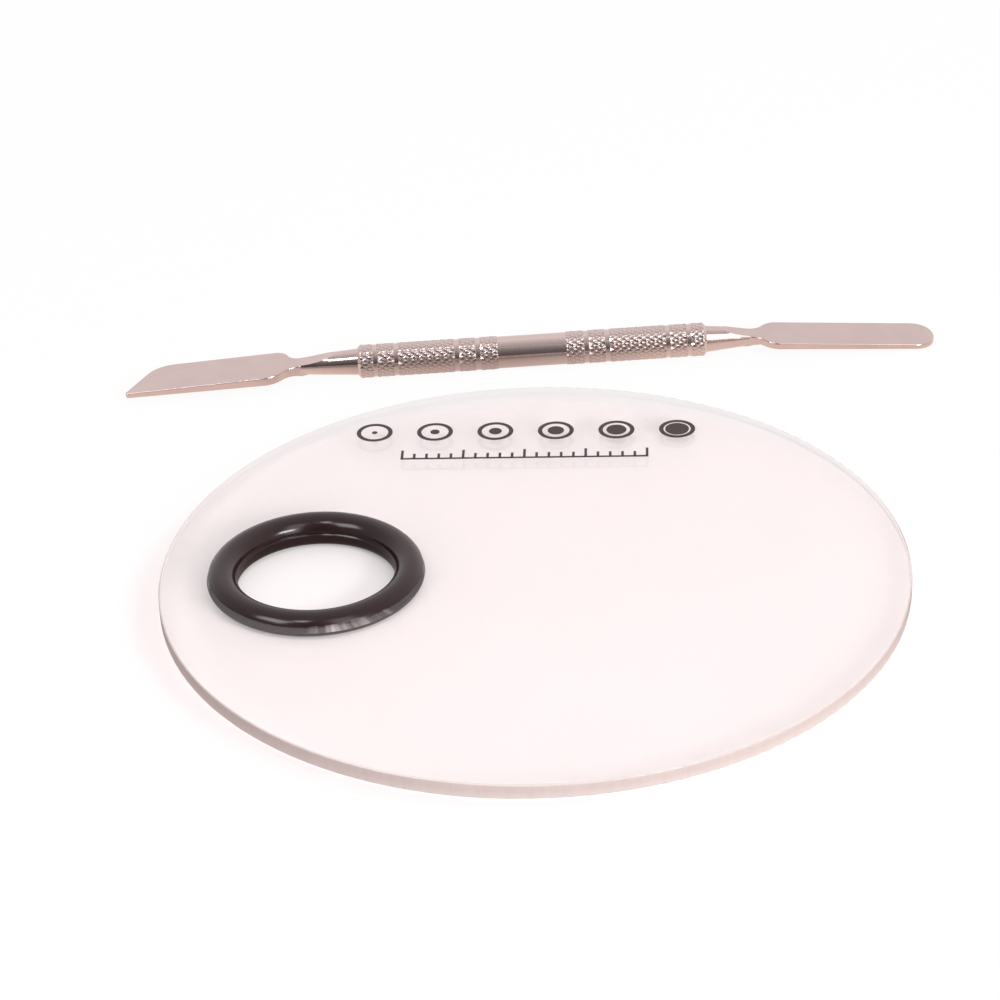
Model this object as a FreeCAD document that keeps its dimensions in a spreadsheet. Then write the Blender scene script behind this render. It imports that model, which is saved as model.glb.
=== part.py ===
import FreeCAD, Part
import math
import os
import Sketcher

# A clear round mixing plate with a two-piece finger ring, and a double-ended steel spatula.
# The origin is on the table under the middle of the set; X runs from the ring to the plate's centre.

doc = FreeCAD.newDocument("palette_set")
sheet = doc.addObject("Spreadsheet::Sheet", "sizes")

driving_sizes = {
    # clear plate
    "plate_diameter": 120.0,
    "plate_thickness": 2.5,
    "rim_rounding": 0.3,
    "plate_x": 2.1465,
    "plate_y": -12.2,
    # finger ring: a round tube above the plate's mid-plane, with a straight bore and a flat foot below
    "ring_margin": 7.34,
    "ring_radius": 15.08,
    "tube_radius": 2.5,
    "bore_flat": 0.1,
    "bore_rounding": 1.45,
    "foot_rounding": 1.6,
    "parting_gap": 0.02,
    "parting_chamfer": 0.2,
    "seat_gap": 0.03,
    "hole_clearance": 0.1,
    "collar_offset": 0.25,
    "collar_wall": 1.0,
    "collar_clearance": 0.1,
    "bead_height": 0.2,
    "bead_drop": 0.07,
    "bead_rise": 0.15,
    "bead_lead": 0.25,
    "slit_width": 1.5,
    "slit_top": 0.1,
    "slit_margin": 0.2,
    "slit_count": 6,
    # turned handle
    "handle_length": 62.8,
    "knurl_radius": 3.0,
    "waist_radius": 2.8,
    "waist_length": 12.4,
    "groove_radius": 2.75,
    "groove_width": 0.9,
    "waist_to_groove": 3.55,
    "end_to_groove": 3.15,
    "groove_spacing": 3.8,
    "handle_chamfer": 0.45,
    "socket_radius": 1.5,
    "socket_depth": 10.0,
    # where the spatula lies
    "spatula_shift": -2.11,
    "spatula_gap": 14.69,
    "spatula_yaw": 4.545,
    # both blades
    "tang_clearance": 0.03,
    "tang_end_gap": 0.2,
    "shank_radius": 2.38,
    "neck_half_width": 1.65,
    "top_run": 1.0,
    "under_run": 4.0,
    "root_length": 1.5,
    "root_half_width": 0.5,
    "top_rise": 0.65,
    "tip_thickness": 0.95,
    "edge_rounding": 0.2,
    "cut_margin": 2.0,
    # angled blade
    "angled_length": 42.1,
    "angled_neck": 10.4,
    "angled_half_width": 4.75,
    "angled_drop": 1.45,
    "angled_under_depth": 1.15,
    "back_shoulder": 4.5,
    "point_shoulder": 6.6,
    "corner_radius": 5.6,
    "end_angle": 59.5,
    "tip_rounding": 0.5,
    "angled_top_flat": 27.0,
    "angled_under_flat": 22.0,
    # round blade
    "round_length": 41.3,
    "round_neck": 7.85,
    "round_half_width": 4.25,
    "round_drop": 2.45,
    "round_under_depth": 0.85,
    "round_shoulder": 5.2,
    "round_end_radius": 5.0,
    "round_corner_radius": 3.6,
    "round_top_flat": 20.0,
    "round_under_flat": 12.0,
}

for row, (alias, size) in enumerate(driving_sizes.items(), start=1):
    sheet.set("A%d" % row, alias)
    sheet.set("B%d" % row, str(size))
    sheet.setAlias("B%d" % row, alias)
doc.recompute()


# Expressions are written with the sheet's words, a space on each side of a word.
def named(expression):
    words = expression.split(" ")
    return " ".join("sizes." + word if word in driving_sizes else word for word in words)


def value(expression):
    result = sheet.evalExpression(named(expression))
    return float(getattr(result, "Value", result))


def bind(feature, prop, expression):
    feature.setExpression(prop, named(expression))


def new_body(label):
    body = doc.addObject("PartDesign::Body", label)
    body.Label = label
    return body


def new_sketch(body, name, plane):
    sketch = body.newObject("Sketcher::SketchObject", name)
    support = next(item for item in body.Origin.OriginFeatures if item.Role == plane)
    sketch.AttachmentSupport = [(support, "")]
    sketch.MapMode = "FlatFace"
    return sketch


# Holds a point's distance from the sketch's origin, or a radius, to an expression.
def dimension(sketch, kind, where, expression):
    if expression == "0":
        axis = -2 if kind == "DistanceX" else -1
        sketch.addConstraint(Sketcher.Constraint("PointOnObject", *where, axis))
        return
    start = () if kind == "Radius" else (-1, 1)
    index = sketch.addConstraint(Sketcher.Constraint(kind, *start, *where, value(expression)))
    bind(sketch, "Constraints[%d]" % index, expression)


# A closed outline through its corners. A coordinate that starts with ~ is only a first guess, which
# the arc beside it settles. An arc is (first corner, centre x, centre y, radius or None, direction).
def outline(sketch, corners, arcs=()):
    arc_from = {arc[0]: arc for arc in arcs}
    points = [FreeCAD.Vector(value(x.strip("~")), value(y.strip("~"))) for x, y in corners]
    edges = []
    for corner, first in enumerate(points):
        last = points[(corner + 1) % len(points)]
        if corner in arc_from:
            _, x, y, _, direction = arc_from[corner]
            centre = FreeCAD.Vector(value(x.strip("~")), value(y.strip("~")))
            circle = Part.Circle(centre, FreeCAD.Vector(0, 0, 1), (first - centre).Length)
            begin, finish = (first, last) if direction == "ccw" else (last, first)
            angles = [math.atan2(end.y - centre.y, end.x - centre.x) for end in (begin, finish)]
            if angles[1] < angles[0]:
                angles[1] += 2 * math.pi
            edge = sketch.addGeometry(Part.ArcOfCircle(circle, *angles))
            edges.append((edge, 1, 2) if direction == "ccw" else (edge, 2, 1))
        else:
            edge = sketch.addGeometry(Part.LineSegment(first, last))
            edges.append((edge, 1, 2))
    for corner, (edge, head, _) in enumerate(edges):
        before, _, tail = edges[corner - 1]
        sketch.addConstraint(Sketcher.Constraint("Coincident", before, tail, edge, head))
        for kind, expression in zip(("DistanceX", "DistanceY"), corners[corner]):
            if not expression.startswith("~"):
                dimension(sketch, kind, (edge, head), expression)
    for corner, x, y, radius, _ in arcs:
        edge = edges[corner][0]
        for kind, expression in (("DistanceX", x), ("DistanceY", y)):
            if not expression.startswith("~"):
                dimension(sketch, kind, (edge, 3), expression)
        if radius:
            dimension(sketch, "Radius", (edge,), radius)


def revolve(body, name, sketch, axis):
    feature = body.newObject("PartDesign::Revolution", name)
    feature.Profile = sketch
    feature.ReferenceAxis = (sketch, [axis])
    feature.Angle = 360
    return feature


def extrude(body, kind, name, sketch, length):
    feature = body.newObject(kind, name)
    feature.Profile = sketch
    feature.SideType = "Symmetric"
    bind(feature, "Length", length)
    return feature


def place(body, axis, angle, x, y, z):
    body.Placement = FreeCAD.Placement(FreeCAD.Vector(), FreeCAD.Rotation(axis, 1.0))
    bind(body, "Placement.Rotation.Angle", angle)
    bind(body, "Placement.Base.x", x)
    bind(body, "Placement.Base.y", y)
    bind(body, "Placement.Base.z", z)


# Places and radii that follow from the driving sizes.
ring_offset = "( plate_diameter / 2 - ring_margin - ring_radius - tube_radius )"
bore_radius = "( ring_radius - tube_radius + bore_flat )"
foot_edge = "( ring_radius + tube_radius - foot_rounding )"
foot_lift = "( tube_radius - foot_rounding )"
collar_radius = "( ring_radius + collar_offset )"
seat = "( plate_thickness / 2 + seat_gap )"
bead_top = "( %s + bead_drop )" % seat
bead_peak = "( %s + bead_rise )" % bead_top
collar_depth = "( %s + bead_lead )" % bead_peak
spatula_x = "( plate_x + spatula_shift )"
spatula_y = "( plate_y + plate_diameter / 2 + spatula_gap )"

# The plate rests on the ring's foot and on its own far rim, so it leans a little about Y.
foot_reach = "( %s - %s )" % (ring_offset, foot_edge)
rim_reach = "( %s + plate_diameter / 2 - rim_rounding )" % foot_reach
rim_rise = "( plate_thickness / 2 - rim_rounding - %s )" % foot_lift
foot_rise = "( foot_rounding - rim_rounding )"
reach = "sqrt( {0} * {0} + {1} * {1} )".format(rim_reach, rim_rise)
lean = "( asin( %s / %s ) - atan( %s / %s ) )" % (foot_rise, reach, rim_rise, rim_reach)
plate_height = "( foot_rounding - {1} * sin( {0} ) + {2} * cos( {0} ) )".format(lean, foot_reach, foot_lift)
ring_x = "plate_x - %s * cos( %s )" % (ring_offset, lean)
ring_height = "%s + %s * sin( %s )" % (plate_height, ring_offset, lean)
y_axis = FreeCAD.Vector(0, 1, 0)
z_axis = FreeCAD.Vector(0, 0, 1)


def make_plate():
    body = new_body("palette_plate")
    sketch = new_sketch(body, "plate_outline", "XY_Plane")
    rim = sketch.addGeometry(Part.Circle(FreeCAD.Vector(), z_axis, value("plate_diameter / 2")))
    sketch.addConstraint(Sketcher.Constraint("Coincident", rim, 3, -1, 1))
    dimension(sketch, "Radius", (rim,), "plate_diameter / 2")
    centre = FreeCAD.Vector(-value(ring_offset), 0)
    hole_radius = collar_radius + " + hole_clearance"
    hole = sketch.addGeometry(Part.Circle(centre, z_axis, value(hole_radius)))
    dimension(sketch, "DistanceX", (hole, 3), "- " + ring_offset)
    dimension(sketch, "DistanceY", (hole, 3), "0")
    dimension(sketch, "Radius", (hole,), hole_radius)
    sheet_cut = extrude(body, "PartDesign::Pad", "plate_sheet", sketch, "plate_thickness")
    doc.recompute()
    rim_edges = [
        "Edge%d" % number
        for number, edge in enumerate(sheet_cut.Shape.Edges, start=1)
        if isinstance(edge.Curve, Part.Circle) and edge.Curve.Radius > value("plate_diameter / 2") - 1
    ]
    rounding = body.newObject("PartDesign::Fillet", "polished_rim")
    rounding.Base = (sheet_cut, rim_edges)
    bind(rounding, "Radius", "rim_rounding")
    place(body, y_axis, lean, "plate_x", "plate_y", plate_height)
    return body


land_top = "sqrt( bore_flat * ( 2 * tube_radius - bore_flat ) )"
upper_edge = "ring_radius + sqrt( tube_radius * tube_radius - {0} * {0} )".format(seat)
seat_drop = "( %s - %s )" % (seat, foot_lift)
lower_edge = "{1} + sqrt( foot_rounding * foot_rounding - {0} * {0} )".format(seat_drop, foot_edge)


# Half a round tube with a flat land round the bore, a seat for the plate and a collar that snaps below it.
def make_ring_upper():
    body = new_body("finger_ring_upper")
    sketch = new_sketch(body, "upper_profile", "XZ_Plane")
    corners = [
        (bore_radius + " + parting_chamfer", "parting_gap"),
        (bore_radius, "parting_gap + parting_chamfer"),
        (bore_radius, "~" + land_top),
        ("~" + upper_edge, seat),
        (collar_radius, seat),
        (collar_radius, "- " + bead_top),
        (collar_radius + " + bead_height", "- " + bead_peak),
        (collar_radius, "- " + collar_depth),
        (collar_radius + " - collar_wall", "- " + collar_depth),
        (collar_radius + " - collar_wall", "parting_gap"),
    ]
    outline(sketch, corners, [(2, "ring_radius", "0", "tube_radius", "cw")])
    revolve(body, "upper_tube", sketch, "V_Axis")

    slit_sketch = new_sketch(body, "slit_profile", "XZ_Plane")
    inner = collar_radius + " - collar_wall - slit_margin"
    outer = collar_radius + " + bead_height + slit_margin"
    bottom = "- %s - slit_margin" % collar_depth
    outline(slit_sketch, [(inner, bottom), (outer, bottom), (outer, "- slit_top"), (inner, "- slit_top")])
    slit = extrude(body, "PartDesign::Pocket", "collar_slit", slit_sketch, "slit_width")
    slits = body.newObject("PartDesign::PolarPattern", "collar_slits")
    slits.Originals = [slit]
    slits.Axis = (slit_sketch, ["V_Axis"])
    slits.Angle = 360
    bind(slits, "Occurrences", "slit_count")
    body.Tip = slits
    place(body, y_axis, lean, ring_x, "plate_y", ring_height)
    return body


# The other half, with a straight bore, a flat foot and a socket that takes the collar and its bead.
def make_ring_lower():
    body = new_body("finger_ring_lower")
    sketch = new_sketch(body, "lower_profile", "XZ_Plane")
    socket_outer = collar_radius + " + collar_clearance"
    socket_inner = collar_radius + " - collar_wall - collar_clearance"
    socket_floor = "- %s - collar_clearance" % collar_depth
    corners = [
        (bore_radius + " + parting_chamfer", "- parting_gap"),
        (bore_radius, "- parting_gap - parting_chamfer"),
        (bore_radius, "bore_rounding - tube_radius"),
        (bore_radius + " + bore_rounding", "- tube_radius"),
        (foot_edge, "- tube_radius"),
        ("~" + lower_edge, "- " + seat),
        (socket_outer, "- " + seat),
        (socket_outer, "- " + bead_top),
        (socket_outer + " + bead_height", "- " + bead_peak),
        (socket_outer, socket_floor),
        (socket_inner, socket_floor),
        (socket_inner, "- parting_gap"),
    ]
    arcs = [
        (2, bore_radius + " + bore_rounding", "~ bore_rounding - tube_radius", None, "ccw"),
        (4, foot_edge, "~ - " + foot_lift, "foot_rounding", "ccw"),
    ]
    outline(sketch, corners, arcs)
    revolve(body, "lower_tube", sketch, "V_Axis")
    place(body, y_axis, lean, ring_x, "plate_y", ring_height)
    return body


# A turned bar with a smooth waist, knurled grips parted by ring grooves, and a blind socket in each end.
def make_handle():
    body = new_body("spatula_handle")
    sketch = new_sketch(body, "handle_profile", "XZ_Plane")
    half = [("waist_length / 2", "waist_radius"), ("waist_length / 2", "knurl_radius")]
    waist_groove = "waist_length / 2 + waist_to_groove"
    end_groove = "handle_length / 2 - end_to_groove"
    grooves = (
        waist_groove,
        waist_groove + " + groove_spacing",
        end_groove + " - groove_spacing",
        end_groove,
    )
    for groove in grooves:
        near = groove + " - groove_width / 2"
        far = groove + " + groove_width / 2"
        half += [(near, "knurl_radius"), (near, "groove_radius")]
        half += [(far, "groove_radius"), (far, "knurl_radius")]
    half += [
        ("handle_length / 2 - handle_chamfer", "knurl_radius"),
        ("handle_length / 2", "knurl_radius - handle_chamfer"),
        ("handle_length / 2", "socket_radius"),
        ("handle_length / 2 - socket_depth", "socket_radius"),
        ("handle_length / 2 - socket_depth", "0"),
    ]
    mirrored = [("- ( %s )" % x, radius) for x, radius in reversed(half)]
    outline(sketch, half + mirrored)
    revolve(body, "turned_bar", sketch, "H_Axis")
    place(body, z_axis, "spatula_yaw", spatula_x, spatula_y, "knurl_radius")
    return body


# Where a width swells from the neck to the blade: two arcs that meet halfway, level at both ends.
def shoulder(side, neck, half_width, length):
    middle = "%s ( neck_half_width + %s ) / 2" % (side, half_width)
    return [
        (neck, side + " neck_half_width"),
        ("%s + %s / 2" % (neck, length), middle),
        ("%s + %s" % (neck, length), "%s %s" % (side, half_width)),
    ]


# First guesses for the centres of a shoulder's two arcs.
def shoulder_arcs(first, side, neck, half_width, length, direction):
    rise = "( %s - neck_half_width )" % half_width
    radius = "( {0} * {0} + {1} * {1} ) / ( 4 * {1} )".format(length, rise)
    outside = "~ %s ( neck_half_width + %s )" % (side, radius)
    inside = "~ %s ( %s - %s )" % (side, half_width, radius)
    blade_end = "%s + %s" % (neck, length)
    if direction == "out":
        return [(first, neck, outside, None, "cw"), (first + 1, blade_end, inside, None, "ccw")]
    return [(first, blade_end, inside, None, "ccw"), (first + 1, neck, outside, None, "cw")]


# The cut that leaves one face of the blade: a straight slope from a little past the neck, and before it an
# arc that runs out on the shank.
def cut_face(body, name, face, blade, end):
    side, run, start = "", "top_run", "top_rise"
    if face == "underside":
        side, run, start = "-", "under_run", blade["under_depth"]
    drop, flat = blade["drop"], blade[face]
    flat_end = "( %s + %s )" % (blade["neck"], run)
    clear = "( shank_radius + %s + cut_margin )" % drop
    sweep = "( %s - %s )" % (clear, start)
    arc_run = "sqrt( 2 * {0} * {1} - {1} * {1} )".format(flat, sweep)
    fall = "( %s + %s ( %s - tip_thickness / 2 ) )" % (drop, side, start)
    slope = "( %s / ( %s - %s ) )" % (fall, blade["length"], flat_end)
    unit = "sqrt( 1 + {0} * {0} )".format(slope)
    corners = [
        ("~ %s - %s" % (flat_end, arc_run), "%s %s" % (side, clear)),
        (flat_end, "%s %s" % (side, start)),
        (end, "%s %s - %s * ( %s - %s )" % (side, start, slope, end, flat_end)),
        (end, "%s %s" % (side, clear)),
    ]
    centre_x = "%s + %s %s * %s / %s" % (flat_end, side, flat, slope, unit)
    centre_z = "%s ( %s + %s / %s )" % (side, start, flat, unit)
    sketch = new_sketch(body, name + "_profile", "XZ_Plane")
    outline(sketch, corners, [(0, centre_x, centre_z, None, "cw" if side else "ccw")])
    return extrude(body, "PartDesign::Pocket", name, sketch, "4 * " + blade["half_width"])


# A round rod pinched flat: the blade's plan is raised, its faces are cut and their edges broken, then the
# tang and the tapered shank are turned and the same cuts leave flame-shaped flats on the shank.
def make_blade(label, blade, corners, arcs):
    body = new_body(label)
    plan_sketch = new_sketch(body, label + "_plan", "XY_Plane")
    outline(plan_sketch, corners, arcs)
    stock = "2 * ( shank_radius + %s )" % blade["drop"]
    extrude(body, "PartDesign::Pad", label + "_sheet", plan_sketch, stock)
    for face in ("top", "underside"):
        cut = cut_face(body, "%s_%s" % (label, face), face, blade, "%s + cut_margin" % blade["length"])
    doc.recompute()
    root_end = value(blade["neck"]) - value("edge_rounding")
    face_edges = [
        "Edge%d" % number
        for number, edge in enumerate(cut.Shape.Edges, start=1)
        if edge.BoundBox.XMin > root_end and edge.BoundBox.XLength > value("edge_rounding")
    ]
    rounding = body.newObject("PartDesign::Fillet", label + "_edges")
    rounding.Base = (cut, face_edges)
    bind(rounding, "Radius", "edge_rounding")

    shank_sketch = new_sketch(body, label + "_shank_profile", "XZ_Plane")
    tang_end = "tang_end_gap - socket_depth"
    tang_radius = "socket_radius - tang_clearance"
    nose = blade["neck"] + " + neck_half_width"
    shank_corners = [
        (tang_end, "0"),
        (tang_end, tang_radius),
        ("0", tang_radius),
        ("0", "shank_radius"),
        (blade["neck"], "neck_half_width"),
        (nose, "0"),
    ]
    outline(shank_sketch, shank_corners)
    revolve(body, label + "_shank", shank_sketch, "H_Axis")
    for face in ("top", "underside"):
        cut_face(body, "%s_shank_%s" % (label, face), face, blade, nose)
    return body


# The point is on the +Y edge and the back sweeps round to it through a corner arc and a straight slant.
def make_angled_blade():
    swing = ("angled_neck", "angled_half_width")
    corner_rise = "corner_radius * ( 1 - cos( end_angle * 1 deg ) )"
    corner_run = "corner_radius * sin( end_angle * 1 deg )"
    slant_run = "( 2 * angled_half_width - %s ) / tan( end_angle * 1 deg )" % corner_rise
    corner_start = "angled_length - %s - %s" % (slant_run, corner_run)
    slant_start = "angled_length - %s" % slant_run
    corners = [("angled_neck - root_length", "- root_half_width")]
    corners += shoulder("-", *swing, "back_shoulder")
    tip_cut = "tip_rounding / tan( end_angle / 2 * 1 deg )"
    tip_start = "angled_length - %s" % tip_cut
    corners += [
        (corner_start, "- angled_half_width"),
        (slant_start, "- angled_half_width + " + corner_rise),
        (
            "angled_length - %s * cos( end_angle * 1 deg )" % tip_cut,
            "angled_half_width - %s * sin( end_angle * 1 deg )" % tip_cut,
        ),
        (tip_start, "angled_half_width"),
    ]
    corners += reversed(shoulder("", *swing, "point_shoulder"))
    corners += [("angled_neck - root_length", "root_half_width")]
    arcs = shoulder_arcs(1, "-", *swing, "back_shoulder", "out")
    arcs += [
        (4, corner_start, "~ corner_radius - angled_half_width", None, "ccw"),
        (6, tip_start, "~ angled_half_width - tip_rounding", None, "ccw"),
    ]
    arcs += shoulder_arcs(8, "", *swing, "point_shoulder", "in")
    blade = {
        "length": "angled_length",
        "neck": "angled_neck",
        "half_width": "angled_half_width",
        "drop": "angled_drop",
        "under_depth": "angled_under_depth",
        "top": "angled_top_flat",
        "underside": "angled_under_flat",
    }
    body = make_blade("spatula_angled_blade", blade, corners, arcs)
    x = spatula_x + " - handle_length / 2 * cos( spatula_yaw * 1 deg )"
    y = spatula_y + " - handle_length / 2 * sin( spatula_yaw * 1 deg )"
    place(body, z_axis, "spatula_yaw + 180", x, y, "knurl_radius")
    return body


# The end is one flat arc between two tighter corner arcs.
def make_round_blade():
    swing = ("round_neck", "round_half_width")
    apart = "( round_end_radius - round_corner_radius )"
    across = "( round_half_width - round_corner_radius )"
    along = "sqrt( {0} * {0} - {1} * {1} )".format(apart, across)
    end_centre = "round_length - round_end_radius"
    corner_start = "%s + %s" % (end_centre, along)
    corner_end = "%s + round_end_radius * %s / %s" % (end_centre, along, apart)
    corner_side = "round_end_radius * %s / %s" % (across, apart)
    corners = [("round_neck - root_length", "- root_half_width")]
    corners += shoulder("-", *swing, "round_shoulder")
    corners += [
        (corner_start, "- round_half_width"),
        (corner_end, "- " + corner_side),
        (corner_end, corner_side),
        (corner_start, "round_half_width"),
    ]
    corners += reversed(shoulder("", *swing, "round_shoulder"))
    corners += [("round_neck - root_length", "root_half_width")]
    arcs = shoulder_arcs(1, "-", *swing, "round_shoulder", "out")
    arcs += [
        (4, corner_start, "~ - " + across, None, "ccw"),
        (5, end_centre, "~ 0", None, "ccw"),
        (6, corner_start, "~ " + across, None, "ccw"),
    ]
    arcs += shoulder_arcs(8, "", *swing, "round_shoulder", "in")
    blade = {
        "length": "round_length",
        "neck": "round_neck",
        "half_width": "round_half_width",
        "drop": "round_drop",
        "under_depth": "round_under_depth",
        "top": "round_top_flat",
        "underside": "round_under_flat",
    }
    body = make_blade("spatula_round_blade", blade, corners, arcs)
    x = spatula_x + " + handle_length / 2 * cos( spatula_yaw * 1 deg )"
    y = spatula_y + " + handle_length / 2 * sin( spatula_yaw * 1 deg )"
    place(body, z_axis, "spatula_yaw", x, y, "knurl_radius")
    return body


makers = (
    make_plate,
    make_ring_upper,
    make_ring_lower,
    make_handle,
    make_angled_blade,
    make_round_blade,
)
pieces = [make() for make in makers]
doc.recompute()

for item in doc.Objects:
    if "Invalid" in item.State or "Error" in item.State:
        raise RuntimeError("%s did not rebuild" % item.Name)

os.makedirs("parts", exist_ok=True)
for piece in pieces:
    shape = piece.Shape
    if shape.isNull() or not shape.isValid() or len(shape.Solids) != 1:
        raise RuntimeError("%s is not one good solid" % piece.Label)
    shape.exportStep("parts/%s.step" % piece.Label)
    print(piece.Label, round(shape.Volume, 1), "mm3")
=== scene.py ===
import bpy
import bmesh
import math
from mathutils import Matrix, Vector


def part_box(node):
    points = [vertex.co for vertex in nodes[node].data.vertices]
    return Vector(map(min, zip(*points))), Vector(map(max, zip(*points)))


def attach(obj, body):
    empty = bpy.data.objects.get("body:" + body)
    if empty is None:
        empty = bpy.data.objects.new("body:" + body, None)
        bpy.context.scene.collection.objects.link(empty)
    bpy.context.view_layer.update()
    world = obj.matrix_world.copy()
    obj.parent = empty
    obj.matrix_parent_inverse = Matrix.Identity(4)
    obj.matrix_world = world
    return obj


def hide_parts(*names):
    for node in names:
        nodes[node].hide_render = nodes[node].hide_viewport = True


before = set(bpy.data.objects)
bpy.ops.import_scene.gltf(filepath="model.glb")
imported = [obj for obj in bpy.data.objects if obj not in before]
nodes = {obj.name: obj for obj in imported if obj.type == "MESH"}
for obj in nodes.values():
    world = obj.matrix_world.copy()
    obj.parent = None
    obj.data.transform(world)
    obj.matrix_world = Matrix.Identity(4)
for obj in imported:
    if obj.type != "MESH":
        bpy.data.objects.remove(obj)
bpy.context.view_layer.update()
mm = 0.001


# sRGB hex to the linear colour that sockets take
def hexColour(code):
    parts = [int(code[i:i + 2], 16) / 255 for i in (1, 3, 5)]
    linear = [p / 12.92 if p <= 0.04045 else ((p + 0.055) / 1.055) ** 2.4 for p in parts]
    return (*linear, 1.0)


# one node: settings go by property, socket name or socket number, and a link is (node, its output)
def addNode(tree, kind, settings=None, links=None):
    node = tree.nodes.new(kind)
    for key, setting in (settings or {}).items():
        if isinstance(key, str) and hasattr(node, key):
            setattr(node, key, setting)
        else:
            node.inputs[key].default_value = setting
    for key, (source, output) in (links or {}).items():
        tree.links.new(source.outputs[output], node.inputs[key])
    return node


def newMaterial(name):
    material = bpy.data.materials.new(name)
    material.use_nodes = True
    material.node_tree.nodes.clear()
    return material, material.node_tree


def coat(piece, material):
    piece.data.materials.clear()
    piece.data.materials.append(material)


def deselectAll():
    if bpy.context.object and bpy.context.object.mode != "OBJECT":
        bpy.ops.object.mode_set(mode="OBJECT")
    bpy.ops.object.select_all(action="DESELECT")


# selects what passes the test, as verts, edges or faces of a piece in edit mode
def pick(piece, kind, test):
    bpy.ops.mesh.select_mode(type=kind)
    bpy.ops.mesh.select_all(action="DESELECT")
    mesh = bmesh.from_edit_mesh(piece.data)
    for part in {"VERT": mesh.verts, "EDGE": mesh.edges, "FACE": mesh.faces}[kind]:
        if test(part):
            part.select_set(True)
    bmesh.update_edit_mesh(piece.data)


def middleOf(name):
    low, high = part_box(name)
    return (Vector(low) + Vector(high)) / 2


plate = {
    "thickness": 2.5 * mm,
    "lean": math.radians(0.9089),      # about Y, as it rests on the ring's foot and its far rim
    "face": ("#eeeded", "#f0efef"),
    "rim": ("#bdafac", "#c9bcb8"),
    # painted light: the rim's colour is blended paler towards its lower and upper arrises
    "paintedArrisLight": "#e6dad6",
    "lowerArris": (0.1 * mm, 0.4),     # from this height down, and how much painted light
    "upperArris": (0.25 * mm, 0.05 * mm, 0.55),    # between these depths below the top, and how much painted highlight
    "rimRough": 0.22,
    "shadow": ("#faf2f3", "#b9acae"),  # what is left of light through the faces, and through the rim
}
plateUp = Vector((math.sin(plate["lean"]), 0, math.cos(plate["lean"])))
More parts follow.
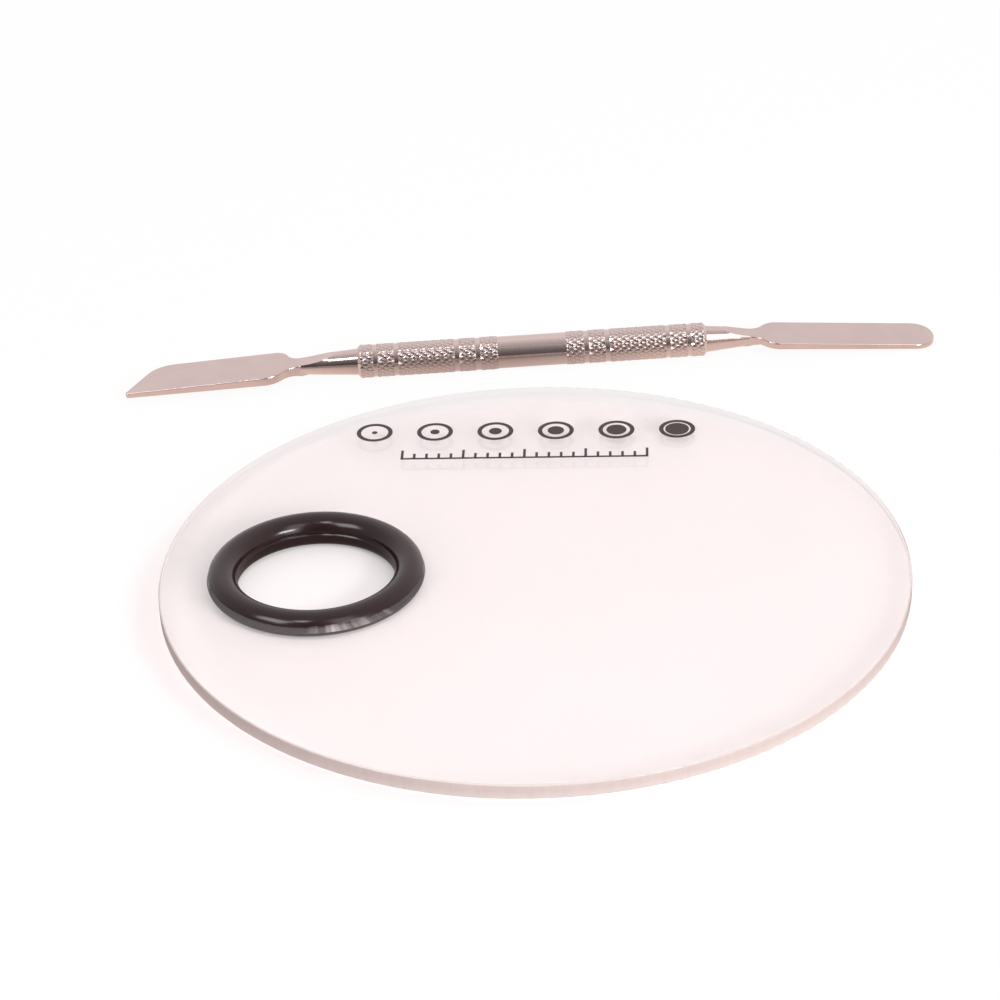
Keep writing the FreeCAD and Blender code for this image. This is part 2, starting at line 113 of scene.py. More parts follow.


# Cast acrylic sheet, sawn and polished: nearly colourless with a faint rosy cast, and a grey rim with
# painted light that makes it paler towards its two arrises, and clear again for light that comes to it from
# inside the sheet
def castAcrylic(centre):
    material, tree = newMaterial("castAcrylic")
    coords = addNode(tree, "ShaderNodeTexCoord")
    facing = addNode(tree, "ShaderNodeSeparateXYZ", {}, {"Vector": (coords, "Normal")})
    level = addNode(tree, "ShaderNodeMath", {"operation": "ABSOLUTE"}, {0: (facing, "Z")})
    rim = addNode(tree, "ShaderNodeMapRange", {"From Min": 0.995, "From Max": 0.95},
                  {"Value": (level, "Value")})

    top = plate["thickness"] / 2
    offset = addNode(tree, "ShaderNodeVectorMath", {"operation": "SUBTRACT", 1: centre},
                     {0: (coords, "Object")})
    height = addNode(tree, "ShaderNodeVectorMath", {"operation": "DOT_PRODUCT", 1: plateUp},
                     {0: (offset, "Vector")})
    # painted light and painted highlight: paler bands of the rim near its lower and upper arrises
    start, amount = plate["lowerArris"]
    lower = addNode(tree, "ShaderNodeMapRange", {"From Min": start, "From Max": -top, "To Max": amount},
                    {"Value": (height, "Value")})
    start, stop, amount = plate["upperArris"]
    upper = addNode(tree, "ShaderNodeMapRange",
                    {"From Min": top - start, "From Max": top - stop, "To Max": amount},
                    {"Value": (height, "Value")})
    paintedArrisLight = addNode(tree, "ShaderNodeMath", {"operation": "MAXIMUM"},
                    {0: (lower, "Result"), 1: (upper, "Result")})

    wiping = addNode(tree, "ShaderNodeMapping", {"Scale": (0.15, 1, 1), "Rotation": (0, 0, 0.4)},
                     {"Vector": (coords, "Object")})
    wipes = addNode(tree, "ShaderNodeTexNoise", {"Scale": 1 / (1.5 * mm), "Detail": 3.0},
                    {"Vector": (wiping, "Vector")})
    sawing = addNode(tree, "ShaderNodeMapping", {"Scale": (1, 1, 0.2)}, {"Vector": (coords, "Object")})
    sawMarks = addNode(tree, "ShaderNodeTexNoise", {"Scale": 1 / (0.8 * mm), "Detail": 3.0},
                       {"Vector": (sawing, "Vector")})        # coarser than they are, so that they show
    low, high = plate["face"]
    faceColour = addNode(tree, "ShaderNodeMix", {"data_type": "RGBA", 6: hexColour(low), 7: hexColour(high)},
                         {0: (wipes, "Fac")})
    low, high = plate["rim"]
    sawnColour = addNode(tree, "ShaderNodeMix", {"data_type": "RGBA", 6: hexColour(low), 7: hexColour(high)},
                         {0: (sawMarks, "Fac")})
    rimColour = addNode(tree, "ShaderNodeMix", {"data_type": "RGBA", 7: hexColour(plate["paintedArrisLight"])},
                        {0: (paintedArrisLight, "Value"), 6: (sawnColour, 2)})
    colour = addNode(tree, "ShaderNodeMix", {"data_type": "RGBA"},
                     {0: (rim, "Result"), 6: (faceColour, 2), 7: (rimColour, 2)})
    polish = addNode(tree, "ShaderNodeMapRange", {"To Max": 0.03}, {"Value": (wipes, "Fac")})
    roughness = addNode(tree, "ShaderNodeMix", {3: plate["rimRough"]},
                        {0: (rim, "Result"), 2: (polish, "Result")})
    clear = addNode(tree, "ShaderNodeMath", {"operation": "SUBTRACT", 0: 1.0}, {1: (rim, "Result")})
    body = addNode(tree, "ShaderNodeBsdfPrincipled", {"IOR": 1.49},
                   {"Base Color": (colour, 2), "Roughness": (roughness, 0),
                    "Transmission Weight": (clear, "Value")})

    side = addNode(tree, "ShaderNodeNewGeometry")
    fromInside = addNode(tree, "ShaderNodeMath", {"operation": "MULTIPLY"},
                         {0: (rim, "Result"), 1: (side, "Backfacing")})
    leaving = addNode(tree, "ShaderNodeBsdfTransparent", {"Color": hexColour("#fcf9f9")})
    sheet = addNode(tree, "ShaderNodeMixShader", {},
                    {0: (fromInside, "Value"), 1: (body, "BSDF"), 2: (leaving, "BSDF")})
    faces, edges = plate["shadow"]
    dimmed = addNode(tree, "ShaderNodeMix", {"data_type": "RGBA", 6: hexColour(faces), 7: hexColour(edges)},
                     {0: (rim, "Result")})
    shade = addNode(tree, "ShaderNodeBsdfTransparent", {}, {"Color": (dimmed, 2)})
    path = addNode(tree, "ShaderNodeLightPath")
    surface = addNode(tree, "ShaderNodeMixShader", {},
                      {0: (path, "Is Shadow Ray"), 1: (sheet, "Shader"), 2: (shade, "BSDF")})
    addNode(tree, "ShaderNodeOutputMaterial", {}, {"Surface": (surface, "Shader")})
    return material


ring = {
    "dark": "#1f0f11",
    "light": "#2a1719",
    "skin": 1.2 * mm,                  # waviness of the moulded skin
    "rough": (0.14, 0.2),
    # painted sheen and painted highlights on the seat: a grey for reflected light, and pale streaks
    "paintedSheenGrey": "#463a3d",
    "paintedGlintColour": "#f4ecec",
    "glintSide": (0.42, -0.907, 0),      # the side with the painted highlights
    "streak": 0.12,                    # breadth of a painted highlight streak, over the ring's radius
}


# Black ABS, injection moulded in a polished tool: a warm black, glossy, with a slight waviness of the skin
def mouldedAbs():
    material, tree = newMaterial("mouldedAbs")
    coords = addNode(tree, "ShaderNodeTexCoord")
    skin = addNode(tree, "ShaderNodeTexNoise", {"Scale": 1 / ring["skin"], "Detail": 4.0},
                   {"Vector": (coords, "Object")})
    bump = addNode(tree, "ShaderNodeBump", {"Strength": 0.05, "Distance": 0.05 * mm},
                   {"Height": (skin, "Fac")})
    black = addNode(tree, "ShaderNodeMix",
                    {"data_type": "RGBA", 6: hexColour(ring["dark"]), 7: hexColour(ring["light"])},
                    {0: (skin, "Fac")})
    rough = addNode(tree, "ShaderNodeMapRange", {"To Min": ring["rough"][0], "To Max": ring["rough"][1]},
                    {"Value": (skin, "Fac")})
    body = addNode(tree, "ShaderNodeBsdfPrincipled", {"IOR": 1.53, "Specular IOR Level": 0.38},
                   {"Base Color": (black, 2), "Roughness": (rough, "Result"), "Normal": (bump, "Normal")})
    addNode(tree, "ShaderNodeOutputMaterial", {}, {"Surface": (body, "BSDF")})
    return material


# The same ABS, where the sheet is pressed to it: a grey painted sheen, and pale painted highlights in
# streaks on one side
def paintedSheenAbs(centre):
    material, tree = newMaterial("paintedSheenAbs")
    coords = addNode(tree, "ShaderNodeTexCoord")
    facing = addNode(tree, "ShaderNodeSeparateXYZ", {}, {"Vector": (coords, "Normal")})
    seat = addNode(tree, "ShaderNodeMapRange", {"From Min": 0.97, "From Max": 0.995},
                   {"Value": (facing, "Z")})
    offset = addNode(tree, "ShaderNodeVectorMath", {"operation": "SUBTRACT", 1: centre},
                     {0: (coords, "Object")})
    outward = addNode(tree, "ShaderNodeVectorMath", {"operation": "NORMALIZE"}, {0: (offset, "Vector")})
    side = addNode(tree, "ShaderNodeVectorMath", {"operation": "DOT_PRODUCT", 1: ring["glintSide"]},
                   {0: (outward, "Vector")})
    near = addNode(tree, "ShaderNodeMapRange", {"From Min": 0.9, "From Max": 0.98},
                   {"Value": (side, "Value")})
    glintNoise = addNode(tree, "ShaderNodeTexNoise", {"Scale": 1 / ring["streak"], "Detail": 2.0},
                      {"Vector": (outward, "Vector")})
    streaks = addNode(tree, "ShaderNodeMapRange", {"From Min": 0.4, "From Max": 0.6, "To Min": 0.1},
                      {"Value": (glintNoise, "Fac")})
    paintedGlints = addNode(tree, "ShaderNodeMath", {"operation": "MULTIPLY"},
                     {0: (streaks, "Result"), 1: (near, "Result")})
    skin = addNode(tree, "ShaderNodeTexNoise", {"Scale": 1 / ring["skin"], "Detail": 4.0},
                   {"Vector": (coords, "Object")})
    black = addNode(tree, "ShaderNodeMix",
                    {"data_type": "RGBA", 6: hexColour(ring["dark"]), 7: hexColour(ring["light"])},
                    {0: (skin, "Fac")})
    # painted sheen and painted highlights: grey seat, pale streaks on one side
    paintedSheenGrey = addNode(tree, "ShaderNodeMix",
                     {"data_type": "RGBA", 6: hexColour(ring["paintedSheenGrey"]), 7: hexColour(ring["paintedGlintColour"])},
                     {0: (paintedGlints, "Value")})
    colour = addNode(tree, "ShaderNodeMix", {"data_type": "RGBA"},
                     {0: (seat, "Result"), 6: (black, 2), 7: (paintedSheenGrey, 2)})
    rough = addNode(tree, "ShaderNodeMapRange", {"To Min": ring["rough"][0], "To Max": ring["rough"][1]},
                    {"Value": (skin, "Fac")})
    body = addNode(tree, "ShaderNodeBsdfPrincipled", {"IOR": 1.53, "Specular IOR Level": 0.38},
                   {"Base Color": (colour, 2), "Roughness": (rough, "Result")})
    addNode(tree, "ShaderNodeOutputMaterial", {}, {"Surface": (body, "BSDF")})
    return material


spatula = {
    "yaw": math.radians(4.545),
    "blade": ("#cab5b1", "#d8c5c1"),
    "bladeRough": (0.1, 0.17),
    "bar": ("#d2bfbb", "#dac8c4"),
    "barRough": (0.08, 0.16),
    "knurl": ("#cbb8b4", "#dfcdc9"),   # roots, darkened as painted shade, and crests
    "knurlRough": (0.12, 0.24),
}


# Stainless steel, forged, ground and satin-polished: a soft warm sheen with faint clouds and fine lines
def satinSteel():
    material, tree = newMaterial("satinSteel")
    coords = addNode(tree, "ShaderNodeTexCoord")
    along = addNode(tree, "ShaderNodeMapping", {"Scale": (0.06, 1, 1), "Rotation": (0, 0, -spatula["yaw"])},
                    {"Vector": (coords, "Object")})
    lines = addNode(tree, "ShaderNodeTexNoise", {"Scale": 1 / (0.35 * mm), "Detail": 4.0},
                    {"Vector": (along, "Vector")})            # coarser than they are, so that they show
    cloud = addNode(tree, "ShaderNodeTexNoise", {"Scale": 1 / (5 * mm), "Detail": 3.0},
                    {"Vector": (coords, "Object")})
    bump = addNode(tree, "ShaderNodeBump", {"Strength": 0.04, "Distance": 0.02 * mm},
                   {"Height": (lines, "Fac")})
    low, high = spatula["blade"]
    colour = addNode(tree, "ShaderNodeMix", {"data_type": "RGBA", 6: hexColour(low), 7: hexColour(high)},
                     {0: (cloud, "Fac")})
    low, high = spatula["bladeRough"]
    rough = addNode(tree, "ShaderNodeMapRange", {"To Min": low, "To Max": high}, {"Value": (lines, "Fac")})
    body = addNode(tree, "ShaderNodeBsdfPrincipled", {"Metallic": 1.0},
                   {"Base Color": (colour, 2), "Roughness": (rough, "Result"), "Normal": (bump, "Normal")})
    addNode(tree, "ShaderNodeOutputMaterial", {}, {"Surface": (body, "BSDF")})
    return material


# Stainless steel bar, turned on a lathe: bright, with very fine rings left by the tool
def turnedSteel(centre):
    material, tree = newMaterial("turnedSteel")
    coords = addNode(tree, "ShaderNodeTexCoord")
    along = addNode(tree, "ShaderNodeMapping",
                    {"vector_type": "TEXTURE", "Location": centre, "Rotation": (0, 0, spatula["yaw"])},
                    {"Vector": (coords, "Object")})
    stretched = addNode(tree, "ShaderNodeVectorMath", {"operation": "MULTIPLY", 1: (1, 0.05, 0.05)},
                        {0: (along, "Vector")})
    rings = addNode(tree, "ShaderNodeTexNoise", {"Scale": 1 / (0.15 * mm), "Detail": 2.0},
                    {"Vector": (stretched, "Vector")})        # coarser than they are, so that they show
    low, high = spatula["bar"]
    colour = addNode(tree, "ShaderNodeMix", {"data_type": "RGBA", 6: hexColour(low), 7: hexColour(high)},
                     {0: (rings, "Fac")})
    low, high = spatula["barRough"]
    rough = addNode(tree, "ShaderNodeMapRange", {"To Min": low, "To Max": high}, {"Value": (rings, "Fac")})
    body = addNode(tree, "ShaderNodeBsdfPrincipled", {"Metallic": 1.0},
                   {"Base Color": (colour, 2), "Roughness": (rough, "Result")})
    addNode(tree, "ShaderNodeOutputMaterial", {}, {"Surface": (body, "BSDF")})
    return material


# The same bar where diamonds are rolled into it: bright crests, and painted shade darkening the roots
def knurledSteel(centre, root, crest):
    material, tree = newMaterial("knurledSteel")
    coords = addNode(tree, "ShaderNodeTexCoord")
    along = addNode(tree, "ShaderNodeMapping",
                    {"vector_type": "TEXTURE", "Location": centre, "Rotation": (0, 0, spatula["yaw"])},
                    {"Vector": (coords, "Object")})
    across = addNode(tree, "ShaderNodeVectorMath", {"operation": "MULTIPLY", 1: (0, 1, 1)},
                     {0: (along, "Vector")})
    radius = addNode(tree, "ShaderNodeVectorMath", {"operation": "LENGTH"}, {0: (across, "Vector")})
    height = addNode(tree, "ShaderNodeMapRange", {"From Min": root, "From Max": crest},
                     {"Value": (radius, "Value")})
    rolled = addNode(tree, "ShaderNodeTexNoise", {"Scale": 1 / (0.4 * mm), "Detail": 3.0},
                     {"Vector": (along, "Vector")})
    # painted shade: darker towards the roots between the diamonds
    low, high = spatula["knurl"]
    colour = addNode(tree, "ShaderNodeMix", {"data_type": "RGBA", 6: hexColour(low), 7: hexColour(high)},
                     {0: (height, "Result")})
    low, high = spatula["knurlRough"]
    rough = addNode(tree, "ShaderNodeMapRange", {"To Min": low, "To Max": high}, {"Value": (rolled, "Fac")})
    body = addNode(tree, "ShaderNodeBsdfPrincipled", {"Metallic": 1.0},
                   {"Base Color": (colour, 2), "Roughness": (rough, "Result")})
    addNode(tree, "ShaderNodeOutputMaterial", {}, {"Surface": (body, "BSDF")})
    return material


steel = satinSteel()
coat(nodes["palette_plate"], castAcrylic(middleOf("palette_plate")))
coat(nodes["finger_ring_upper"], mouldedAbs())
coat(nodes["finger_ring_lower"], paintedSheenAbs(middleOf("finger_ring_lower")))
for name in ("spatula_handle", "spatula_angled_blade", "spatula_round_blade"):
    coat(nodes[name], steel)
print("coated the CAD nodes")

# knurled handle, made along X about the origin and then laid in its place
grip = {
    "length": 62.8 * mm,
    "root": 2.88 * mm,             # between the diamonds
    "crest": 3.0 * mm,
    "diamonds": 18,                # round the bar
    "diamondLength": 1.45 * mm,
    "flank": 0.34 * mm,
    "tucked": 0.88,                # the knurling's open edges go in to this share of their radius
    "waist": 2.88 * mm,
    "waistHalf": 6.2 * mm,
    "grooves": (9.75 * mm, 13.55 * mm, 24.45 * mm, 28.25 * mm),   # from the middle
    "grooveHalf": 0.45 * mm,
    "grooveFlat": 0.36 * mm,
    "grooveFloor": 2.89 * mm,
    "grooveLip": 2.94 * mm,
    "core": 2.45 * mm,             # hidden under the knurling
    "chamfer": 0.45 * mm,
    "shoulder": 2.92 * mm,         # of the chamfer
    "end": 2.5 * mm,
    "endFace": 2.0 * mm,           # inner edge of the end's face, hidden by the shank
    "sides": 48,
    "smoothUpTo": math.radians(25),
}
half = grip["length"] / 2
rows = round(grip["length"] / grip["diamondLength"])
row = grip["length"] / rows
flat = math.cos(math.pi / grip["diamonds"])           # a facet's middle over its corners
deselectAll()
bpy.ops.mesh.primitive_cylinder_add(vertices=grip["diamonds"], radius=grip["root"], depth=grip["length"],
                                    end_fill_type="NOTHING", rotation=(0, math.pi / 2, 0))
knurl = bpy.context.object
bpy.ops.object.transform_apply(location=False, rotation=True, scale=False)
bpy.ops.object.mode_set(mode="EDIT")
pick(knurl, "EDGE", lambda edge: abs(edge.verts[0].co.x - edge.verts[1].co.x) > half)
bpy.ops.mesh.subdivide(number_cuts=rows - 1)
bpy.ops.mesh.select_all(action="SELECT")
bpy.ops.mesh.poke()
pick(knurl, "VERT", lambda vert: math.hypot(vert.co.y, vert.co.z) < (1 + flat) / 2 * grip["root"])
bpy.ops.transform.resize(value=(1, 1 / flat, 1 / flat), center_override=(0, 0, 0))     # the facets' middles
pick(knurl, "EDGE", lambda edge: not edge.is_boundary
     and abs(abs(edge.verts[0].co.x - edge.verts[1].co.x) - row / 2) > row / 4)
bpy.ops.mesh.dissolve_edges(use_verts=False)          # leaves the diamonds
bpy.ops.mesh.select_all(action="SELECT")
bpy.ops.mesh.normals_make_consistent(inside=False)
bpy.ops.mesh.inset(thickness=grip["flank"], depth=grip["crest"] - grip["root"], use_individual=True)

# the knurling stops at the waist, the grooves and the ends
gaps = [(-grip["waistHalf"], grip["waistHalf"])]
for side in (-1, 1):
    for groove in grip["grooves"]:
        gaps.append((side * groove - grip["grooveHalf"], side * groove + grip["grooveHalf"]))
gaps.append((-half - mm, -half + grip["chamfer"]))
gaps.append((half - grip["chamfer"], half + mm))
for gap in gaps:
    for cut in gap:
        bpy.ops.mesh.select_all(action="SELECT")
        bpy.ops.mesh.bisect(plane_co=(cut, 0, 0), plane_no=(1, 0, 0))
pick(knurl, "FACE", lambda face: any(low < face.calc_center_median().x < high for low, high in gaps))
bpy.ops.mesh.delete(type="FACE")
pick(knurl, "EDGE", lambda edge: edge.is_boundary)
bpy.ops.mesh.extrude_edges_move()
bpy.ops.transform.resize(value=(1, grip["tucked"], grip["tucked"]), center_override=(0, 0, 0))
bpy.ops.object.mode_set(mode="OBJECT")

# plain bar between and under the knurling, run out from one end to the other
profile = [(grip["waistHalf"], grip["waist"]), (grip["waistHalf"], grip["core"])]
for groove in grip["grooves"]:
    profile.append((groove - grip["grooveHalf"], grip["core"]))
    profile.append((groove - grip["grooveHalf"], grip["grooveLip"]))
    profile.append((groove - grip["grooveFlat"], grip["grooveFloor"]))
    profile.append((groove + grip["grooveFlat"], grip["grooveFloor"]))
    profile.append((groove + grip["grooveHalf"], grip["grooveLip"]))
    profile.append((groove + grip["grooveHalf"], grip["core"]))
profile.append((half - grip["chamfer"], grip["core"]))
profile.append((half - grip["chamfer"], grip["shoulder"]))
profile.append((half, grip["end"]))
profile.append((half, grip["endFace"]))
stations = [(-x, radius) for x, radius in reversed(profile)] + profile
deselectAll()
bpy.ops.mesh.primitive_circle_add(vertices=grip["sides"], radius=stations[0][1],
                                  location=(stations[0][0], 0, 0), rotation=(0, math.pi / 2, 0))
bar = bpy.context.object
bpy.ops.object.transform_apply()
bpy.ops.object.mode_set(mode="EDIT")
bpy.ops.mesh.select_all(action="SELECT")
for (x, radius), (nextX, nextRadius) in zip(stations, stations[1:]):
    bpy.ops.mesh.extrude_edges_move(TRANSFORM_OT_translate={"value": (nextX - x, 0, 0)})
    bpy.ops.transform.resize(value=(1, nextRadius / radius, nextRadius / radius), center_override=(0, 0, 0))
bpy.ops.mesh.select_all(action="SELECT")
bpy.ops.mesh.remove_doubles(threshold=0.001 * mm)
bpy.ops.mesh.normals_make_consistent(inside=False)
bpy.ops.object.mode_set(mode="OBJECT")

handleMiddle = middleOf("spatula_handle")
coat(knurl, knurledSteel(handleMiddle, grip["root"], grip["crest"]))
coat(bar, turnedSteel(handleMiddle))
deselectAll()
knurl.select_set(True)
bar.select_set(True)
bpy.context.view_layer.objects.active = knurl
bpy.ops.object.join()
handle = bpy.context.object
handle.name = "knurledHandle"
bpy.ops.object.shade_smooth_by_angle(angle=grip["smoothUpTo"])
handle.location = handleMiddle
handle.rotation_euler = (0, 0, spatula["yaw"])
bpy.ops.object.transform_apply()
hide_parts("spatula_handle")
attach(handle, "spatula")
print("handle knurled:", len(handle.data.polygons), "faces")

# portion marks printed on the plate: six rings with a growing dot, over a ruled scale
marks = {
    "count": 6,
    "spacing": 10.4 * mm,
    "ring": 3.1 * mm,
    "stroke": 0.75 * mm,
    "smallest": 0.5 * mm,
    "sides": 48,
    "row": 44.2 * mm,              # from the plate's middle towards the rear
    "shift": -2.5 * mm,
    "scaleRow": 35.0 * mm,
    "scaleLength": 41.6 * mm,
    "rule": 0.5 * mm,
    "tickRule": 0.45 * mm,
    "tick": 1.9 * mm,
    "longTick": 3.04 * mm,
    "longEvery": 5,
    "step": 2.08 * mm,
    "colour": ("#2b1a1a", "#392928"),
    "ink": 0.03 * mm,
    "clear": 0.004 * mm,           # under the ink, so that it doesn't share the plate's face
}


# Screen-printing ink: dense matt black, a little uneven where the mesh laid it down
def printedInk():
    material, tree = newMaterial("printedInk")
    coords = addNode(tree, "ShaderNodeTexCoord")
    laid = addNode(tree, "ShaderNodeTexNoise", {"Scale": 1 / (0.25 * mm), "Detail": 2.0},
                   {"Vector": (coords, "Object")})            # coarser than the mesh, so that it shows
    low, high = marks["colour"]
    colour = addNode(tree, "ShaderNodeMix", {"data_type": "RGBA", 6: hexColour(low), 7: hexColour(high)},
                     {0: (laid, "Fac")})
    rough = addNode(tree, "ShaderNodeMapRange", {"To Min": 0.45, "To Max": 0.6}, {"Value": (laid, "Fac")})
    body = addNode(tree, "ShaderNodeBsdfPrincipled", {"IOR": 1.5},
                   {"Base Color": (colour, 2), "Roughness": (rough, "Result")})
    addNode(tree, "ShaderNodeOutputMaterial", {}, {"Surface": (body, "BSDF")})
    return material


printed = []
for number in range(marks["count"]):
    deselectAll()
    across = (number - (marks["count"] - 1) / 2) * marks["spacing"] + marks["shift"]
    bpy.ops.mesh.primitive_circle_add(vertices=marks["sides"], radius=marks["ring"], fill_type="NGON",
                                      location=(across, marks["row"], 0))
    mark = bpy.context.object
    bpy.ops.object.transform_apply()
    bpy.ops.object.mode_set(mode="EDIT")
    bpy.ops.mesh.select_all(action="SELECT")
    bpy.ops.mesh.inset(thickness=marks["stroke"])
    inner = marks["ring"] - marks["stroke"]
    dot = marks["smallest"] + (inner - marks["smallest"]) * number / marks["count"]
    bpy.ops.mesh.inset(thickness=inner - dot)
    middle = Vector((across, marks["row"], 0))
    pick(mark, "FACE", lambda face: len(face.verts) == 4
         and dot < (face.calc_center_median() - middle).length < inner)
    bpy.ops.mesh.delete(type="FACE")
    bpy.ops.object.mode_set(mode="OBJECT")
    printed.append(mark)
ticks = round(marks["scaleLength"] / marks["step"])
bars = [(0, 0, marks["scaleLength"], marks["rule"])]       # middle, width and depth of each bar
for tick in range(ticks + 1):
    tall = marks["longTick"] if tick % marks["longEvery"] == 0 else marks["tick"]
    bars.append(((tick - ticks / 2) * marks["step"], (tall - marks["rule"]) / 2, marks["tickRule"], tall))
for x, y, width, depth in bars:
    deselectAll()
    bpy.ops.mesh.primitive_plane_add(size=1, location=(x + marks["shift"], y + marks["scaleRow"], 0))
    bpy.context.object.scale = (width, depth, 1)
    bpy.ops.object.transform_apply()
    printed.append(bpy.context.object)
deselectAll()
for mark in printed:
    mark.select_set(True)
bpy.context.view_layer.objects.active = printed[0]
bpy.ops.object.join()
ink = bpy.context.object
ink.name = "portionMarks"
bpy.ops.object.mode_set(mode="EDIT")
bpy.ops.mesh.select_all(action="SELECT")
bpy.ops.mesh.normals_make_consistent(inside=False)
bpy.ops.mesh.extrude_region_move(TRANSFORM_OT_translate={"value": (0, 0, marks["ink"])})
bpy.ops.mesh.select_all(action="SELECT")
bpy.ops.mesh.normals_make_consistent(inside=False)
bpy.ops.object.mode_set(mode="OBJECT")
ink.location = middleOf("palette_plate") + plateUp * (plate["thickness"] / 2 + marks["clear"])
ink.rotation_euler = (0, plate["lean"], 0)
bpy.ops.object.transform_apply()
coat(ink, printedInk())
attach(ink, "palette")
print("marks printed")

# camera where the photograph was taken from
shot = {
    "place": (23.55 * mm, -444.35 * mm, 270.07 * mm),
    "aim": (-3.13 * mm, -5.38 * mm, 11.81 * mm),
    "roll": math.radians(-3.25),
    "lens": 114.41,
    "sensor": 36,
    "sees": 20,                    # metres
}
camera = bpy.data.objects.new("photoCamera", bpy.data.cameras.new("photoCamera"))
bpy.context.scene.collection.objects.link(camera)
look = Vector(shot["aim"]) - Vector(shot["place"])
camera.location = shot["place"]
camera.rotation_euler = look.to_track_quat("-Z", "Y").to_euler()
camera.rotation_euler.rotate_axis("Z", shot["roll"])
camera.data.lens = shot["lens"]
camera.data.sensor_width = shot["sensor"]
camera.data.clip_end = shot["sees"]
bpy.context.scene.camera = camera
print("camera set")

# white table: shown paler than it is lit, most of all away from the plate, so that it is white and keeps
# the shadows. The steel mirrors it darker towards the plate
table = {
    "size": 6.0,
    "colour": "#f5eded",
    "shown": "#ffffff",
    "inSteel": "#f6e7df",
    "middle": (0.6 * mm, -17.2 * mm, 0.0),    # a little to the front of the plate's
    "glow": 1.0,
    "pale": (0.3, 0.93),           # under the plate, and away from it
    "between": (61.5 * mm, 66.5 * mm),
    "mirrored": (0.35, 1.1),
    "mirroredBetween": (67.5 * mm, 84 * mm),
}
deselectAll()
bpy.ops.mesh.primitive_plane_add(size=table["size"], location=(0, 0, 0))
floor = bpy.context.object
floor.name = "whiteTable"
paper, tree = newMaterial("whiteTablePaper")
path = addNode(tree, "ShaderNodeLightPath")
coords = addNode(tree, "ShaderNodeTexCoord")
away = addNode(tree, "ShaderNodeVectorMath", {"operation": "DISTANCE", 1: table["middle"]},
               {0: (coords, "Object")})
mirrored = addNode(tree, "ShaderNodeMath", {"operation": "GREATER_THAN"},
                   {0: (path, "Is Glossy Ray"), 1: (path, "Is Transmission Ray")})
direct = addNode(tree, "ShaderNodeMath", {"operation": "MAXIMUM"},
                 {0: (path, "Is Camera Ray"), 1: (path, "Is Transmission Ray")})
share = addNode(tree, "ShaderNodeMapRange",
                {"From Min": table["between"][0], "From Max": table["between"][1],
                 "To Min": table["pale"][0], "To Max": table["pale"][1]}, {"Value": (away, "Value")})
pale = addNode(tree, "ShaderNodeMath", {"operation": "MULTIPLY"},
               {0: (direct, "Value"), 1: (share, "Result")})
dim = addNode(tree, "ShaderNodeMapRange",
              {"From Min": table["mirroredBetween"][0], "From Max": table["mirroredBetween"][1],
               "To Min": table["mirrored"][0], "To Max": table["mirrored"][1]}, {"Value": (away, "Value")})
strength = addNode(tree, "ShaderNodeMix", {2: table["glow"]}, {0: (mirrored, "Value"), 3: (dim, "Result")})
tint = addNode(tree, "ShaderNodeMix",
               {"data_type": "RGBA", 6: hexColour(table["shown"]), 7: hexColour(table["inSteel"])},
               {0: (mirrored, "Value")})
matt = addNode(tree, "ShaderNodeBsdfDiffuse", {"Color": hexColour(table["colour"])})
glow = addNode(tree, "ShaderNodeEmission", {}, {"Color": (tint, 2), "Strength": (strength, 0)})
glowing = addNode(tree, "ShaderNodeMath", {"operation": "MAXIMUM"},
                  {0: (pale, "Value"), 1: (mirrored, "Value")})
surface = addNode(tree, "ShaderNodeMixShader", {},
                  {0: (glowing, "Value"), 1: (matt, "BSDF"), 2: (glow, "Emission")})
addNode(tree, "ShaderNodeOutputMaterial", {}, {"Surface": (surface, "Shader")})
coat(floor, paper)
print("table laid")

# room light: bright at the rear and overhead, dark only in a narrow stretch on the camera's side
room = {
    "narrow": (2.5, 1.0, 1.0),
    "rear": (0.12, 0.993, 0.0),
    "stops": ((-1.0, 0.08), (-0.97, 0.1), (-0.86, 0.17), (-0.6, 0.36), (-0.17, 0.62), (0.5, 1.02),
              (1.0, 0.94)),        # from the camera's side to the rear, and how bright
    "tint": (1.0, 0.96, 0.965),    # a touch of pink
    "seen": "#ffffff",
}
world = bpy.data.worlds.new("studioRoom")
bpy.context.scene.world = world
world.use_nodes = True
tree = world.node_tree
tree.nodes.clear()
coords = addNode(tree, "ShaderNodeTexCoord")
squeezed = addNode(tree, "ShaderNodeVectorMath", {"operation": "MULTIPLY", 1: room["narrow"]},
                   {0: (coords, "Generated")})
direction = addNode(tree, "ShaderNodeVectorMath", {"operation": "NORMALIZE"}, {0: (squeezed, "Vector")})
facing = addNode(tree, "ShaderNodeVectorMath", {"operation": "DOT_PRODUCT", 1: room["rear"]},
                 {0: (direction, "Vector")})
rearward = addNode(tree, "ShaderNodeMapRange", {"From Min": -1, "From Max": 1}, {"Value": (facing, "Value")})
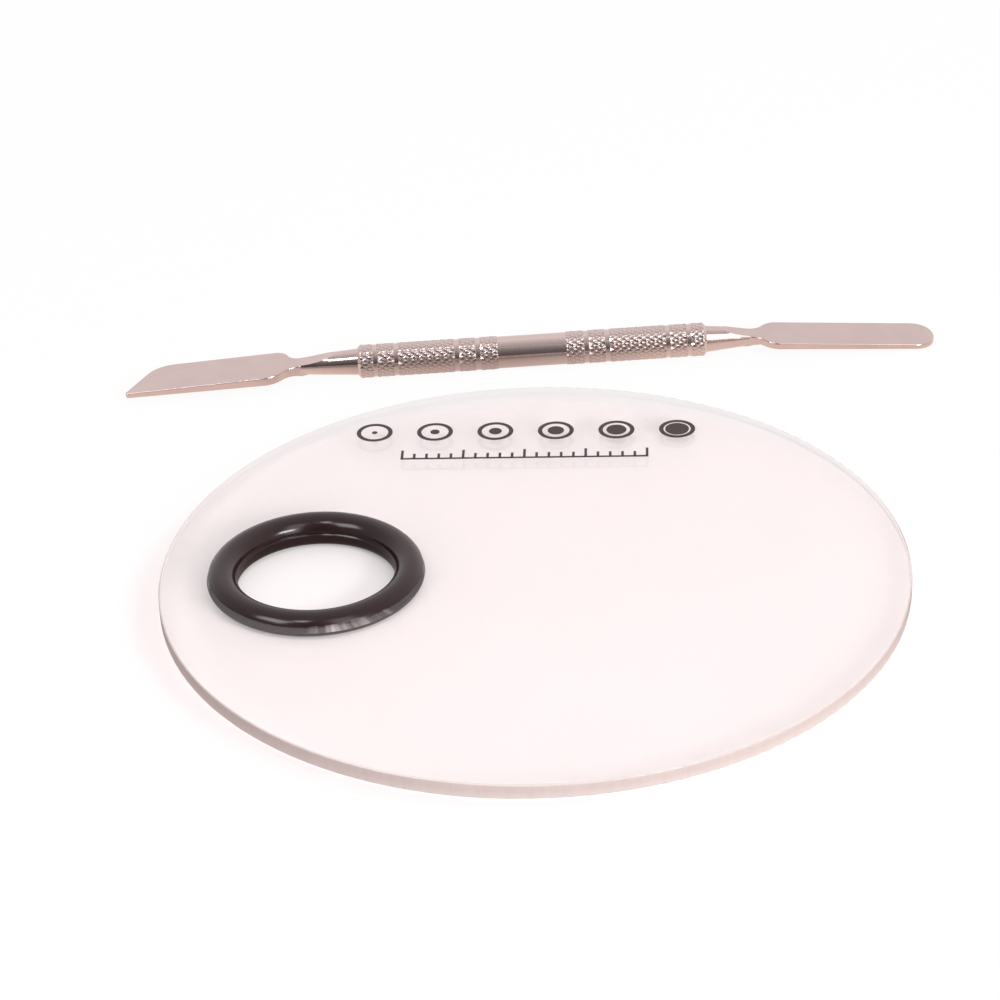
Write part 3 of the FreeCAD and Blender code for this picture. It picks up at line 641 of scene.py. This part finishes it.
ramp = addNode(tree, "ShaderNodeValToRGB", {}, {"Fac": (rearward, "Result")})
stops = ramp.color_ramp.elements
stops.remove(stops[1])
for number, (place, grey) in enumerate(room["stops"]):
    stop = stops[0] if number == 0 else stops.new((place + 1) / 2)
    stop.position = (place + 1) / 2
    stop.color = (*[grey * part for part in room["tint"]], 1)
path = addNode(tree, "ShaderNodeLightPath")
seen = addNode(tree, "ShaderNodeMix", {"data_type": "RGBA", 7: hexColour(room["seen"])},
               {0: (path, "Is Camera Ray"), 6: (ramp, "Color")})
sky = addNode(tree, "ShaderNodeBackground", {"Strength": 1.0}, {"Color": (seen, 2)})
addNode(tree, "ShaderNodeOutputWorld", {}, {"Surface": (sky, "Background")})

# soft boxes: sizes in metres, and whether gloss and matt surfaces take their light
softBoxes = {
    "keyBox": {"place": (0.15, -0.60, 0.95), "size": (0.90, 0.90), "watts": 4.0,
               "inGloss": False, "onMatt": True},
    "stripBox": {"place": (0.52, -0.78, 0.60), "size": (0.40, 1.35), "watts": 3.2,
                 "inGloss": True, "onMatt": True},
    "rightBox": {"place": (0.60, -0.65, 0.44), "size": (0.34, 0.16), "watts": 4.6,
                 "inGloss": True, "onMatt": True},
    "leftBox": {"place": (-0.55, -0.45, 0.73), "size": (0.45, 0.35), "watts": 3.0,
                "inGloss": True, "onMatt": False},
    "thinBox": {"place": (-0.183, -0.43, 0.87), "size": (0.15, 0.20), "watts": 0.8,
                "inGloss": True, "onMatt": False},
}
for name, box in softBoxes.items():
    lamp = bpy.data.lights.new(name, "AREA")
    lamp.shape = "RECTANGLE"
    lamp.size, lamp.size_y = box["size"]
    lamp.energy = box["watts"]
    light = bpy.data.objects.new(name, lamp)
    light.location = box["place"]
    light.rotation_euler = (-Vector(box["place"])).to_track_quat("-Z", "Y").to_euler()
    light.visible_glossy = box["inGloss"]
    light.visible_diffuse = box["onMatt"]
    bpy.context.scene.collection.objects.link(light)
bpy.context.scene.view_settings.view_transform = "Standard"
print("light set")
